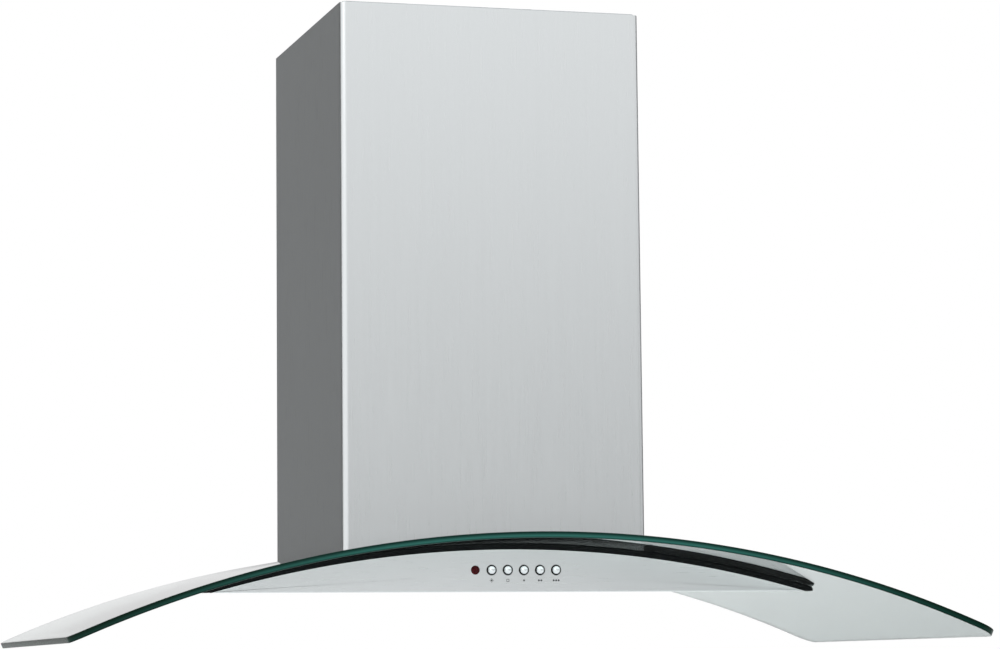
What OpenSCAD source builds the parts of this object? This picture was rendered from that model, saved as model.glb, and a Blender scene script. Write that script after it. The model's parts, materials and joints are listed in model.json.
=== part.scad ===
// Island range hood: a curved glass canopy on a slim steel body, hung from the
// ceiling by a telescopic frame inside a square two-stage chimney.
// Origin: centre of the ceiling plate's top face. +X right, +Y back, +Z up. Millimetres.

/* [Canopy] */
// Width of the glass canopy
glass_w = 900; // [880:10:960]
// Depth of the glass canopy, front to back
glass_d = 500; // [480:10:540]
// Thickness of the glass
glass_t = 6; // [5:0.5:8]
// Rise of the glass arch from its ends to its crown
arch_rise = 95; // [90:1:100]
// Plan radius of the glass corners
glass_corner_r = 18; // [10:1:30]

/* [Chimney] */
// Outside width and depth of the lower chimney cover
chimney_w = 310; // [308:1:316]
// Ceiling to the top surface of the glass ends, closed up
drop = 629; // [600:1:660]
// Outside radius of the chimney's front corners
chimney_corner_r = 6; // [3:0.5:10]
// Thickness of the steel sheet
sheet = 1.2; // [1:0.1:1.4]
// Travel of the telescopic frame
travel = 300; // [240:10:300]

/* [Body] */
// Height of the body's underside above the glass ends
body_lift = 42; // [40:1:46]
// Height of the tray above the lower edge of the control panel
tray_lift = 12; // [11.5:0.1:12.2]
// Distance from the glass front edge back to the control panel
panel_setback = 122; // [118:1:130]
// Thickness of the rubber gasket under the glass
gasket_t = 6; // [5:0.5:7]

/* [Controls] */
// Radius of a push button
button_r = 5; // [4.5:0.1:5.5]
// Spacing of the push buttons
button_pitch = 16.2; // [15.5:0.1:17]
// Travel of a push button
button_travel = 3; // [2:0.5:3]
// Radius of the indicator lens
indicator_r = 4.3; // [3.5:0.1:4.8]

/* [Filters and lamps] */
// Width of one grease filter
filter_w = 172; // [150:2:172]
// Depth of one grease filter
filter_d = 262; // [240:2:262]
// Thickness of a grease filter
filter_t = 9; // [8:0.5:9]
// Radius of a lamp's trim ring
lamp_r = 33; // [30:1:34]

/* [Fan] */
// Outside radius of the duct collar
collar_r = 75; // [70:1:75]
// Height of the duct collar
collar_h = 52; // [45:1:60]
// Radius of the fan wheel
wheel_r = 62; // [56:1:62]
// Number of blades on the fan wheel
blade_count = 30; // [24:1:36]

/* [Hidden] */

$fn = 72;
arc_fn = 256;        // for the long arcs of the canopy and body
eps = 1;             // how far a cutter runs past what it cuts

// canopy arch: concentric layers about an axis along Y
arch_r = (glass_w * glass_w / 4 + arch_rise * arch_rise) / (2 * arch_rise);
arch_z = arch_rise - drop - arch_r;
glass_in_r = arch_r - glass_t;
body_r = glass_in_r - gasket_t;
plate_r = body_r - sheet;

chimney_h = chimney_w / 2;
rear_y = chimney_h;
glass_y = rear_y - glass_d;
panel_y = glass_y + panel_setback;
body_z = body_lift - drop;
tray_z = body_z + tray_lift;

// telescoping covers
cover_gap = 0.8;
lip_w = 15;
joint_gap = 0.3;
upper_h = chimney_h - sheet - cover_gap;
upper_rear_y = rear_y - 2 * sheet - joint_gap - 0.8;
upper_len = drop - 149;
cover_top_z = -1;

// frame posts
post_leg = 25;
post_t = 2;
upper_post_h = 142;
lower_post_h = upper_post_h - post_t - 0.5;
box_h = lower_post_h - post_t;
leg_mid = upper_post_h - 15;
foot_w = 35;
foot_t = 3;
foot_bolt = upper_post_h - foot_w / 2;
frame_bolt_z = -60;
notch_h = lower_post_h + 4.5;

plate_t = 2.5;
plate_flange = 22;
ceiling_bolt = 90;
ceiling_hole_r = 4.2;
duct_hole_r = 82;

// fan chamber
box_top_z = -300;
throat_h = 125;
collar_wall = 1.5;
damper_z = box_top_z + 18;
damper_pin_r = 1.5;
running = 0.06;

// scroll of the fan: quarter arcs about the corners of a small square
scroll_step = 9;
scroll_r = 74;
scroll_y = 51;
scroll_z = -430;
scroll_half = 50;
scroll_t = 1.5;
wheel_y = scroll_y - scroll_step / 2;
wheel_z = scroll_z + scroll_step / 2;
wheel_half = scroll_half - 4;
wheel_in_r = wheel_r - 12;
inlet_r = wheel_in_r + 1;
shaft_r = 4;
motor_r = 38;
motor_x0 = 5;
motor_x1 = 78;

// electrical parts on the fan chamber's front corners
corner_at = 113;
junction_w = 42;
junction_z = box_top_z + 28;
lid_t = 3;
gland_r = 6;

// where the lead passes down into the fan chamber
wire_at = [corner_at, -corner_at - 5];
wire_hole_r = 5;

// controls
control_z = body_z + 21;
button_x = [for (i = [0:4]) (i - 1.5) * button_pitch];
indicator_x = -2.5 * button_pitch;
icon_z = control_z - 10;
icon_t = 0.12;
block_y = panel_y + sheet + 7;
block_d = 18;
block_h = 15;
block_w = 104;

// filters and lamps
filter_x = 12;
filter_z = tray_z + 0.2;
filter_rear_y = 134;
filter_front_y = filter_rear_y - filter_d;
filter_pivot = [filter_rear_y - 3, filter_z + filter_t / 2];
filter_pin_r = 1.5;
filter_rail = 20;
latch_w = 56;
latch_d = 10;
latch_t = 4;
latch_ear = 2;
lamp_x = 165;
lamp_y = (panel_y + filter_front_y) / 2;
lamp_can_h = 9.5;
lamp_can_r = lamp_r - 4;
lens_r = lamp_r - 8;

steel = [0.80, 0.81, 0.82];
zinc = [0.68, 0.70, 0.72];
rubber = [0.10, 0.10, 0.10];
plastic = [0.13, 0.13, 0.14];

// ---- shared shapes ----

// solid bar along Y, bounded above by one of the arch's concentric radii
module arch_bar(r, y0, y1) {
    translate([0, y1, arch_z])
        rotate([90, 0, 0])
            cylinder(r = r, h = y1 - y0, $fn = arc_fn);
}

module arch_layer(r_out, r_in, y0, y1) {
    difference() {
        arch_bar(r_out, y0, y1);
        arch_bar(r_in, y0 - eps, y1 + eps);
    }
}

module block(x0, x1, y0, y1, z0, z1) {
    translate([x0, y0, z0]) cube([x1 - x0, y1 - y0, z1 - z0]);
}

module round_rect(x0, x1, y0, y1, r) {
    translate([x0 + r, y0]) square([x1 - x0 - 2 * r, y1 - y0]);
    translate([x0, y0 + r]) square([x1 - x0, y1 - y0 - 2 * r]);
    for (x = [x0 + r, x1 - r], y = [y0 + r, y1 - r]) translate([x, y]) circle(r = r);
}

// rod along X, Y or Z from its own start point
module rod_x(r, x0, x1, y, z) {
    translate([x0, y, z]) rotate([0, 90, 0]) cylinder(r = r, h = x1 - x0);
}

module rod_y(r, x, y0, y1, z) {
    translate([x, y0, z]) rotate([-90, 0, 0]) cylinder(r = r, h = y1 - y0);
}

module rod_z(r, x, y, z0, z1) {
    translate([x, y, z0]) cylinder(r = r, h = z1 - z0);
}

module four_corners(d) {
    for (x = [-d, d], y = [-d, d]) translate([x, y, 0]) children();
}

// ---- ceiling frame ----

module ceiling_plate() {
    in_y = upper_rear_y - 2 * sheet - 2 * joint_gap;
    h = upper_h - sheet - joint_gap;
    color(zinc) difference() {
        translate([0, 0, -plate_flange])
            linear_extrude(plate_flange) round_rect(-h, h, -h, in_y, 4);
        block(-h + post_t, h - post_t, -h + post_t, in_y - post_t, -plate_flange - eps, -plate_t);
        rod_z(duct_hole_r, 0, 0, -plate_t - eps, eps);
        four_corners(ceiling_bolt) rod_z(ceiling_hole_r, 0, 0, -plate_t - eps, eps);
        four_corners(foot_bolt) rod_z(3.2, 0, 0, -plate_t - eps, eps);
        for (y = [-90, 90]) rod_x(2.1, -h - eps, h + eps, y, -plate_flange / 2);
    }
}

// angle section with its outer corner at [h, h], legs running inward
module angle_post(h, z0, z1) {
    difference() {
        block(h - post_leg, h, h - post_leg, h, z0, z1);
        block(h - post_leg - eps, h - post_t, h - post_leg - eps, h - post_t, z0 - eps, z1 + eps);
    }
}

module upper_post() {
    slot_r = 3;
    slot_top = frame_bolt_z + 8;
    slot_end = frame_bolt_z - travel - 8;
    difference() {
        union() {
            angle_post(upper_post_h, -upper_len, -plate_t);
            block(upper_post_h - foot_w, upper_post_h, upper_post_h - foot_w, upper_post_h,
                  -plate_t - foot_t, -plate_t);
        }
        rod_z(3.2, foot_bolt, foot_bolt, -plate_t - foot_t - eps, 0);
        for (a = [0, 1]) mirror(a == 0 ? [0, 0, 0] : [1, -1, 0]) {
            for (z = [slot_top - slot_r, slot_end + slot_r])
                rod_x(slot_r, upper_post_h - post_t - eps, upper_post_h + eps, leg_mid, z);
            block(upper_post_h - post_t - eps, upper_post_h + eps, leg_mid - slot_r, leg_mid + slot_r,
                  slot_end + slot_r, slot_top - slot_r);
        }
    }
}

module corner_turn(sx, sy) {
    mirror([sx < 0 ? 1 : 0, 0, 0]) mirror([0, sy < 0 ? 1 : 0, 0]) children();
}

module upper_post_fl() { color(zinc) corner_turn(-1, -1) upper_post(); }
module upper_post_fr() { color(zinc) corner_turn(1, -1) upper_post(); }
module upper_post_rl() { color(zinc) corner_turn(-1, 1) upper_post(); }
module upper_post_rr() { color(zinc) corner_turn(1, 1) upper_post(); }

module post_bolts() {
    color("dimgray") four_corners(foot_bolt) {
        rod_z(3, 0, 0, -plate_t - foot_t, 0);
        translate([0, 0, -plate_t - foot_t - 4]) cylinder(r = 5.5, h = 4, $fn = 6);
    }
}

module square_ring(out, in, z0, z1) {
    difference() {
        block(-out, out, -out, out, z0, z1);
        block(-in, in, -in, in, z0 - eps, z1 + eps);
    }
}

module upper_brace() {
    color(zinc) square_ring(upper_post_h + 3, upper_post_h, 2 - upper_len, 22 - upper_len);
}

// chimney cover's front and sides, with two lips that carry the back panel
module u_section(h, y1, t, r) {
    lip_y = y1 - t - joint_gap;
    difference() {
        round_rect(-h, h, -h, y1 + 2 * r, r);
        round_rect(-h + t, h - t, -h + t, y1 + 3 * r, max(r - t, 1));
        translate([-h - eps, y1]) square([2 * h + 2 * eps, 4 * r]);
    }
    for (s = [-1, 1])
        translate([s > 0 ? h - t - lip_w : t - h, lip_y - t]) square([lip_w, t]);
}

module upper_cover_front() {
    slots = 9;
    slot_pitch = 15;
    color(steel) difference() {
        translate([0, 0, -upper_len])
            linear_extrude(upper_len + cover_top_z)
                u_section(upper_h, upper_rear_y, sheet, chimney_corner_r - 2);
        for (i = [0:slots - 1])
            block(-upper_h - eps, upper_h + eps, (i - 4) * slot_pitch - 2, (i - 4) * slot_pitch + 2, -94, -50);
        for (y = [-90, 90]) rod_x(3.1, -upper_h - eps, upper_h + eps, y, -plate_flange / 2);
    }
}

module upper_cover_rear() {
    h = upper_h - sheet - joint_gap;
    color(steel) block(-h, h, upper_rear_y - sheet, upper_rear_y, -upper_len, cover_top_z);
}

module upper_cover_screws() {
    in = upper_h - sheet;
    color("silver") for (s = [0, 1], y = [-90, 90]) mirror([s, 0, 0]) {
        rod_x(3, in, upper_h, y, -plate_flange / 2);
        rod_x(2, in - 6, in, y, -plate_flange / 2);
    }
}

// ---- hood frame and chimney ----

module lower_post() {
    difference() {
        angle_post(lower_post_h, body_z, -30);
        arch_bar(plate_r, -chimney_h, chimney_h);
        rod_x(2.5, box_h - eps, lower_post_h + eps, leg_mid, frame_bolt_z);
        rod_y(2.5, leg_mid, box_h - eps, lower_post_h + eps, frame_bolt_z);
    }
}

module lower_post_fl() { color(zinc) corner_turn(-1, -1) lower_post(); }
module lower_post_fr() { color(zinc) corner_turn(1, -1) lower_post(); }
module lower_post_rl() { color(zinc) corner_turn(-1, 1) lower_post(); }
module lower_post_rr() { color(zinc) corner_turn(1, 1) lower_post(); }

module lower_brace() {
    color(zinc) square_ring(box_h, box_h - 2.5, -100, -80);
}

// bolt, washer and nut that clamp a lower post to an upper post's slot
module frame_bolt() {
    out = upper_post_h + 0.3;
    rod_x(2.4, box_h - 4, out + 2, leg_mid, frame_bolt_z);
    rod_x(5.5, out, out + 1, leg_mid, frame_bolt_z);
    rod_x(4.2, out + 1, out + 3.6, leg_mid, frame_bolt_z);
    translate([box_h - 4, leg_mid, frame_bolt_z]) rotate([0, 90, 0]) cylinder(r = 4.6, h = 4, $fn = 6);
}

module frame_bolts() {
    color("dimgray") for (sx = [-1, 1], sy = [-1, 1], a = [0, 1])
        corner_turn(sx, sy) mirror(a == 0 ? [0, 0, 0] : [1, -1, 0]) frame_bolt();
}

module lower_cover_front() {
    color(steel) difference() {
        translate([0, 0, body_z])
            linear_extrude(cover_top_z - 0.5 - body_z)
                u_section(chimney_h, rear_y, sheet, chimney_corner_r);
        arch_bar(arch_r + joint_gap, -chimney_h - eps, chimney_h + eps);
        for (s = [-1, 1], z = [-40, -270, -500])
            rod_y(2.1, s * (chimney_h - sheet - lip_w / 2), rear_y - 5, rear_y, z);
    }
}

// the back panel runs on down through the glass notch to the body's gasket
module lower_cover_rear() {
    h = chimney_h - sheet - joint_gap;
    color(steel) difference() {
        block(-h, h, rear_y - sheet, rear_y, body_z, cover_top_z - 0.5);
        arch_bar(glass_in_r + joint_gap, rear_y - 2 * sheet, rear_y + eps);
        difference() {
            arch_bar(arch_r + joint_gap, rear_y - 2 * sheet, rear_y + eps);
            block(-notch_h + joint_gap, notch_h - joint_gap, 0, rear_y + 2 * eps, body_z, 0);
        }
        for (s = [-1, 1], z = [-40, -270, -500])
            rod_y(2.1, s * (chimney_h - sheet - lip_w / 2), rear_y - 5, rear_y + eps, z);
    }
}

module lower_cover_screws() {
    color("silver") for (s = [-1, 1], z = [-40, -270, -500])
        translate([s * (chimney_h - sheet - lip_w / 2), rear_y, z]) {
            rod_y(3.8, 0, 0, 1.5, 0);
            rod_y(2, 0, -2 * sheet - joint_gap, 0, 0);
        }
}

// ---- canopy ----

module glass_canopy() {
    color([0.72, 0.86, 0.82, 0.45]) intersection() {
        arch_layer(arch_r, glass_in_r, glass_y - eps, rear_y + eps);
        translate([0, 0, -drop - 50]) linear_extrude(drop) difference() {
            round_rect(-glass_w / 2, glass_w / 2, glass_y, rear_y, glass_corner_r);
            translate([-notch_h, -notch_h]) square([2 * notch_h, 2 * chimney_w]);
        }
    }
}

// a long strip over the control panel, and a frame over the narrower tray behind it
module canopy_gasket() {
    strip = 12;
    side_strip = 16;
    panel_h = 306;
    tray_h = 262;
    color(rubber) intersection() {
        arch_layer(glass_in_r, body_r, panel_y, rear_y);
        union() {
            block(-panel_h, panel_h, panel_y, panel_y + strip, body_z, 0);
            difference() {
                block(-tray_h, tray_h, panel_y, rear_y, tray_z, 0);
                block(side_strip - tray_h, tray_h - side_strip, panel_y + strip, rear_y - strip,
                      tray_z - eps, eps);
            }
        }
    }
}

// brackets on the fan chamber that hold the glass down around its notch
module glass_clamps() {
    pad = box_h + 13;
    z0 = arch_rise - drop - 12;
    color(zinc) {
        intersection() {
            arch_layer(arch_r + 2.2, arch_r + 0.2, -pad, -box_h);
            block(-100, 100, -pad, -box_h, z0 - 30, 0);
        }
        difference() {
            block(-100, 100, -box_h - post_t, -box_h, z0, z0 + 40);
            arch_bar(arch_r + 1, -pad, 0);
        }
        for (s = [0, 1]) mirror([s, 0, 0]) {
            intersection() {
                arch_layer(arch_r + 2.2, arch_r + 0.2, -100, 100);
                block(box_h, pad, -100, 100, z0 - 30, 0);
            }
            difference() {
                block(box_h, box_h + post_t, -100, 100, z0 - 30, z0 + 30);
                arch_bar(arch_r + 1, -101, 101);
            }
        }
    }
}

// ---- body under the glass ----

// lens-shaped end of the body down to z0, with a flange turned in along its arched edge
module lens_panel(y0, dir, z0) {
    inner = y0 + dir * sheet;
    deep = y0 + dir * 14;
    intersection() {
        union() {
            arch_bar(body_r, min(y0, inner), max(y0, inner));
            arch_layer(body_r, plate_r, min(y0, deep), max(y0, deep));
        }
        block(-glass_w / 2, glass_w / 2, min(y0, deep), max(y0, deep), z0, 0);
    }
}

// the panel hangs below the tray, and its lower edge is folded back under it
module control_panel() {
    fold = 8;
    color(steel) difference() {
        union() {
            lens_panel(panel_y, 1, body_z);
            intersection() {
                arch_bar(plate_r, panel_y, panel_y + fold);
                block(-glass_w / 2, glass_w / 2, panel_y, panel_y + fold, body_z, body_z + sheet);
            }
        }
        for (x = button_x) rod_y(button_r + 0.2, x, panel_y - eps, panel_y + 4, control_z);
        rod_y(indicator_r + 0.1, indicator_x, panel_y - eps, panel_y + 4, control_z);
    }
}

module rear_panel() {
    color(steel) lens_panel(rear_y, -1, tray_z);
}

module top_plate() {
    color(zinc) difference() {
        intersection() {
            arch_layer(plate_r, plate_r - sheet, panel_y + sheet, rear_y - sheet);
            block(-glass_w / 2, glass_w / 2, panel_y, rear_y, tray_z, 0);
        }
        block(-throat_h, throat_h, -throat_h, throat_h, tray_z, 0);
    }
}

// underside of the body: openings for the filters and lamps, upturned front and back edges
module bottom_tray() {
    lip = 9;
    lip_end = 250;
    y0 = panel_y + sheet;
    y1 = rear_y - sheet;
    ear_t = 3;
    ear_half = 6;
    gap = 1;
    color(steel) difference() {
        intersection() {
            arch_bar(plate_r - sheet, y0, y1);
            union() {
                block(-glass_w / 2, glass_w / 2, y0, y1, tray_z, tray_z + sheet);
                block(-lip_end, lip_end, y1 - sheet, y1, tray_z, tray_z + lip);
                for (s = [0, 1]) mirror([s, 0, 0]) {
                    block(block_w / 2 + 8, lip_end, y0, y0 + sheet, tray_z, tray_z + lip);
                    for (x = [filter_x - gap - ear_t, filter_x + filter_w + gap])
                        block(x, x + ear_t, filter_pivot[0] - ear_half, filter_pivot[0] + ear_half,
                              tray_z, tray_z + lip);
                }
            }
        }
        for (s = [0, 1]) mirror([s, 0, 0]) {
            block(filter_x - gap, filter_x + filter_w + gap, filter_front_y - gap,
                  filter_rear_y + 3 * gap, tray_z - eps, tray_z + 2 * lip);
            rod_x(filter_pin_r + running, 0, filter_x + filter_w + gap + 2 * ear_t,
                  filter_pivot[0], filter_pivot[1]);
            rod_z(lamp_can_r + 0.5, lamp_x, lamp_y, tray_z - eps, tray_z + sheet + eps);
        }
    }
}

// ---- controls ----

// domed cap on a stem; the flange behind the panel keeps it in
module button(i) {
    front = panel_y - 1.6;
    dome_h = 2.4;
    dome_r = (button_r * button_r + dome_h * dome_h) / (2 * dome_h);
    color("silver") translate([button_x[i], 0, control_z]) {
        intersection() {
            translate([0, front - dome_h + dome_r, 0]) sphere(r = dome_r);
            rod_y(button_r, 0, front - 2 * dome_h, front, 0);
        }
        rod_y(button_r, 0, front, panel_y + 2, 0);
        rod_y(button_r + 1.2, 0, panel_y + sheet + joint_gap, panel_y + sheet + 1.8, 0);
        rod_y(2, 0, panel_y + 2, block_y + block_d - 6, 0);
    }
}

module button_light() { button(0); }
module button_stop() { button(1); }
module button_speed_1() { button(2); }
module button_speed_2() { button(3); }
module button_speed_3() { button(4); }

module indicator_lens() {
    dome_h = 1.6;
    dome_r = (indicator_r * indicator_r + dome_h * dome_h) / (2 * dome_h);
    color([0.55, 0.05, 0.05]) translate([indicator_x, 0, control_z]) {
        intersection() {
            translate([0, panel_y - dome_h + dome_r, 0]) sphere(r = dome_r);
            rod_y(indicator_r, 0, panel_y - 2 * dome_h, panel_y, 0);
        }
        rod_y(indicator_r, 0, panel_y, block_y, 0);
        rod_y(indicator_r + 1.2, 0, panel_y + sheet, panel_y + sheet + 2, 0);
    }
}

module icon_disc(x, r) {
    rod_y(r, x, panel_y - icon_t, panel_y, icon_z);
}

// printed marks under the buttons: lamp, stop and one to three dots
module panel_icons() {
    dot_pitch = 2.4;
    rays = 8;
    color("dimgray") {
        icon_disc(button_x[0], 0.9);
        for (i = [0:rays - 1])
            translate([button_x[0], panel_y, icon_z]) rotate([0, i * 360 / rays, 0])
                translate([1.3, -icon_t, -0.15]) cube([0.9, icon_t, 0.3]);
        translate([button_x[1] - 1.1, panel_y - icon_t, icon_z - 1.1]) cube([2.2, icon_t, 2.2]);
        for (n = [1:3], k = [0:n - 1])
            icon_disc(button_x[n + 1] + (k - (n - 1) / 2) * dot_pitch, 0.75);
    }
}

module switch_block() {
    color(plastic) difference() {
        block(-block_w / 2, block_w / 2, block_y, block_y + block_d,
              control_z - block_h / 2, control_z + block_h / 2);
        for (x = button_x) rod_y(2 + running, x, block_y - eps, block_y + block_d - 2, control_z);
        rod_y(indicator_r - 1, indicator_x, block_y - eps, block_y + 6, control_z);
    }
}

module switch_bracket() {
    y1 = block_y + block_d;
    color(zinc) {
        block(-60, 60, y1, y1 + 12, tray_z + sheet, tray_z + 2 * sheet);
        block(-60, 60, y1, y1 + sheet, tray_z + 2 * sheet, control_z + block_h / 2);
    }
}

module lamp_driver() {
    driver_w = 56;
    driver_d = 30;
    driver_h = 16;
    color("whitesmoke") translate([-driver_w - 66, panel_y + 10, tray_z + sheet])
        cube([driver_w, driver_d, driver_h]);
}

// ---- fan chamber ----

module motor_box() {
    color(zinc) difference() {
        block(-box_h, box_h, -box_h, box_h, body_z, box_top_z);
        difference() {
            block(-box_h + sheet, box_h - sheet, -box_h + sheet, box_h - sheet, body_z - eps, box_top_z - sheet);
            intersection() {
                arch_layer(plate_r + sheet, plate_r, -box_h, box_h);
                difference() {
                    block(-box_h, box_h, -box_h, box_h, body_z, 0);
                    block(-throat_h, throat_h, -throat_h, throat_h, body_z - eps, eps);
                }
            }
        }
        arch_bar(plate_r, -box_h - eps, box_h + eps);
        rod_z(collar_r - collar_wall, 0, 0, box_top_z - 2 * sheet, box_top_z + eps);
        rod_z(wire_hole_r, wire_at[0], wire_at[1], box_top_z - 2 * sheet, box_top_z + eps);
    }
}

// screw head standing on the highest point of the arched flange beneath it
module flange_screw(x, y) {
    head_r = 3.5;
    r = plate_r + sheet;
    inner = abs(x) - head_r;
    translate([x, y, arch_z + sqrt(r * r - inner * inner)]) cylinder(r = head_r, h = 2.4);
}

module box_screws() {
    at = (box_h - sheet + throat_h) / 2;
    color("silver") for (a = [-90, -30, 30, 90], s = [-1, 1]) {
        flange_screw(a, s * at);
        flange_screw(s * at, a);
    }
}

// outline of the scroll in its own plane (first axis Y, second Z), grown outward by g
module scroll_outline(g) {
    s = scroll_step;
    r = scroll_r + g;
    big = 2 * scroll_r;
    top = box_top_z - sheet - scroll_z;
    tongue = 6;
    intersection() {
        circle(r = r, $fn = 128);
        translate([-eps, -eps]) square(big);
    }
    translate([-s, 0]) intersection() {
        circle(r = r + s, $fn = 128);
        translate([0, -big]) square(big);
    }
    translate([-s, s]) intersection() {
        circle(r = r + 2 * s, $fn = 128);
        translate([-big, -big]) square(big);
    }
    translate([-r - 3 * s, s - eps]) square([r + 3 * s - tongue + g, top - s + eps]);
    translate([-s, 0]) square([s, r]);
}

module in_scroll_plane(x0, x1) {
    translate([x0, scroll_y, scroll_z])
        rotate([90, 0, 90])
            linear_extrude(x1 - x0) children();
}

module fan_scroll() {
    color("gainsboro") difference() {
        in_scroll_plane(-scroll_half - scroll_t, scroll_half + scroll_t) intersection() {
            scroll_outline(scroll_t);
            translate([-200, -200]) square([400, 200 + box_top_z - sheet - scroll_z]);
        }
        in_scroll_plane(-scroll_half, scroll_half) scroll_outline(0);
        rod_x(inlet_r, -scroll_half - 2 * scroll_t, scroll_half + 2 * scroll_t, wheel_y, wheel_z);
    }
}

module fan_wheel() {
    ring = 2;
    color("lightsteelblue") translate([0, wheel_y, wheel_z]) {
        difference() {
            union() {
                rod_x(wheel_r, -1, 1, 0, 0);
                rod_x(12, -14, 1, 0, 0);
            }
            rod_x(shaft_r, -20, 20, 0, 0);
        }
        for (s = [-1, 1]) difference() {
            rod_x(wheel_r, s > 0 ? wheel_half - ring : -wheel_half, s > 0 ? wheel_half : ring - wheel_half, 0, 0);
            rod_x(wheel_in_r, -wheel_half - eps, wheel_half + eps, 0, 0);
        }
        for (i = [0:blade_count - 1]) rotate([i * 360 / blade_count, 0, 0])
            translate([-wheel_half + 1, wheel_in_r + 0.5, -0.5])
                rotate([25, 0, 0]) cube([2 * wheel_half - 2, 11, 1]);
    }
}

module motor_shaft() {
    color("silver") rod_x(shaft_r, -16, motor_x1 - 8, wheel_y, wheel_z);
}

module motor() {
    color("darkgray") translate([0, wheel_y, wheel_z]) difference() {
        union() {
            rod_x(motor_r - 8, motor_x0, motor_x0 + 8, 0, 0);
            rod_x(motor_r, motor_x0 + 8, motor_x1 - 8, 0, 0);
            rod_x(motor_r - 8, motor_x1 - 8, motor_x1, 0, 0);
        }
        rod_x(shaft_r + running, motor_x0 - eps, motor_x1 - 4, 0, 0);
    }
}

// three arms that carry the motor on the scroll's right side plate
module motor_spider() {
    x0 = scroll_half + scroll_t;
    color(zinc) translate([0, wheel_y, wheel_z]) difference() {
        union() {
            rod_x(motor_r + 4, x0, x0 + 5, 0, 0);
            for (a = [90, 210, 330]) rotate([a, 0, 0])
                translate([x0, 0, -6]) cube([3, wheel_r + 6, 12]);
        }
        rod_x(motor_r, x0 - eps, x0 + 6, 0, 0);
    }
}

module duct_collar() {
    color(plastic) difference() {
        union() {
            rod_z(collar_r + 12, 0, 0, box_top_z, box_top_z + 2);
            rod_z(collar_r, 0, 0, box_top_z, box_top_z + collar_h);
        }
        rod_z(collar_r - collar_wall, 0, 0, box_top_z - eps, box_top_z + collar_h + eps);
        rod_y(damper_pin_r, 0, -collar_r - eps, collar_r + eps, damper_z);
    }
}

module damper_pin() {
    color("silver") rod_y(damper_pin_r, 0, -collar_r, collar_r, damper_z);
}

// half-disc flap on two knuckles; first is where the first knuckle starts
module damper(first) {
    knuckle = 14;
    knuckle_r = 2.8;
    r = collar_r - collar_wall - 0.7;
    color([0.25, 0.25, 0.27]) difference() {
        union() {
            intersection() {
                rod_z(r, 0, 0, damper_z - 0.5, damper_z + 0.5);
                block(knuckle_r + 0.4, r, -r, r, damper_z - 1, damper_z + 1);
            }
            for (y = [first, first + 60]) {
                rod_y(knuckle_r, 0, y, y + knuckle, damper_z);
                block(0, 8, y, y + knuckle, damper_z - 0.5, damper_z + 0.5);
            }
        }
        rod_y(damper_pin_r + running, 0, -r - eps, r + eps, damper_z);
    }
}

module damper_right() { damper(-45); }
module damper_left() { mirror([1, 0, 0]) damper(-30); }

// square pillar of half width h about the junction box's middle
module junction_block(h, z0, z1) {
    block(corner_at - h, corner_at + h, -corner_at - h, -corner_at + h, z0, z1);
}

module junction_box() {
    wall = 2;
    color("whitesmoke") difference() {
        junction_block(junction_w / 2, box_top_z, junction_z);
        junction_block(junction_w / 2 - wall, box_top_z + wall, junction_z + eps);
        rod_z(wire_hole_r, wire_at[0], wire_at[1], box_top_z - eps, box_top_z + wall + eps);
    }
}

module junction_lid() {
    color("whitesmoke") difference() {
        junction_block(junction_w / 2 + 1, junction_z, junction_z + lid_t);
        rod_z(gland_r, corner_at, -corner_at, junction_z - eps, junction_z + lid_t + eps);
    }
}

// strain relief where the supply cable enters
module cable_gland() {
    color(plastic) translate([corner_at, -corner_at, junction_z]) difference() {
        union() {
            rod_z(gland_r, 0, 0, -5, lid_t);
            rod_z(gland_r + 3, 0, 0, lid_t, lid_t + 6);
            rod_z(gland_r + 1.5, 0, 0, lid_t + 6, lid_t + 12);
        }
        rod_z(gland_r - 2, 0, 0, -5 - eps, lid_t + 12 + eps);
    }
}

module capacitor() {
    h = 48;
    color("whitesmoke") translate([-corner_at, -corner_at, box_top_z]) {
        rod_z(16, 0, 0, 0, h);
        rod_z(gland_r, 0, 0, h, h + 6);
    }
}

// straight runs between points, with a slightly fatter ball at each bend
module tube_run(points, r) {
    for (i = [0:len(points) - 2]) {
        v = points[i + 1] - points[i];
        flat = sqrt(v[0] * v[0] + v[1] * v[1]);
        translate(points[i])
            rotate([0, atan2(flat, v[2]), atan2(v[1], v[0])])
                cylinder(r = r, h = norm(v), $fn = 48);
        if (i > 0) translate(points[i]) sphere(r = r + 0.4, $fn = 48);
    }
}

// lead from the junction box down inside the fan chamber to the switch block
module wiring() {
    color(rubber) tube_run([
        [wire_at[0], wire_at[1], box_top_z + 10], [wire_at[0], wire_at[1], control_z + 6],
        [block_w / 2 + 28, block_y + block_d / 2, control_z], [block_w / 2, block_y + block_d / 2, control_z]
    ], 2.5);
}

// ---- filters ----

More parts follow.
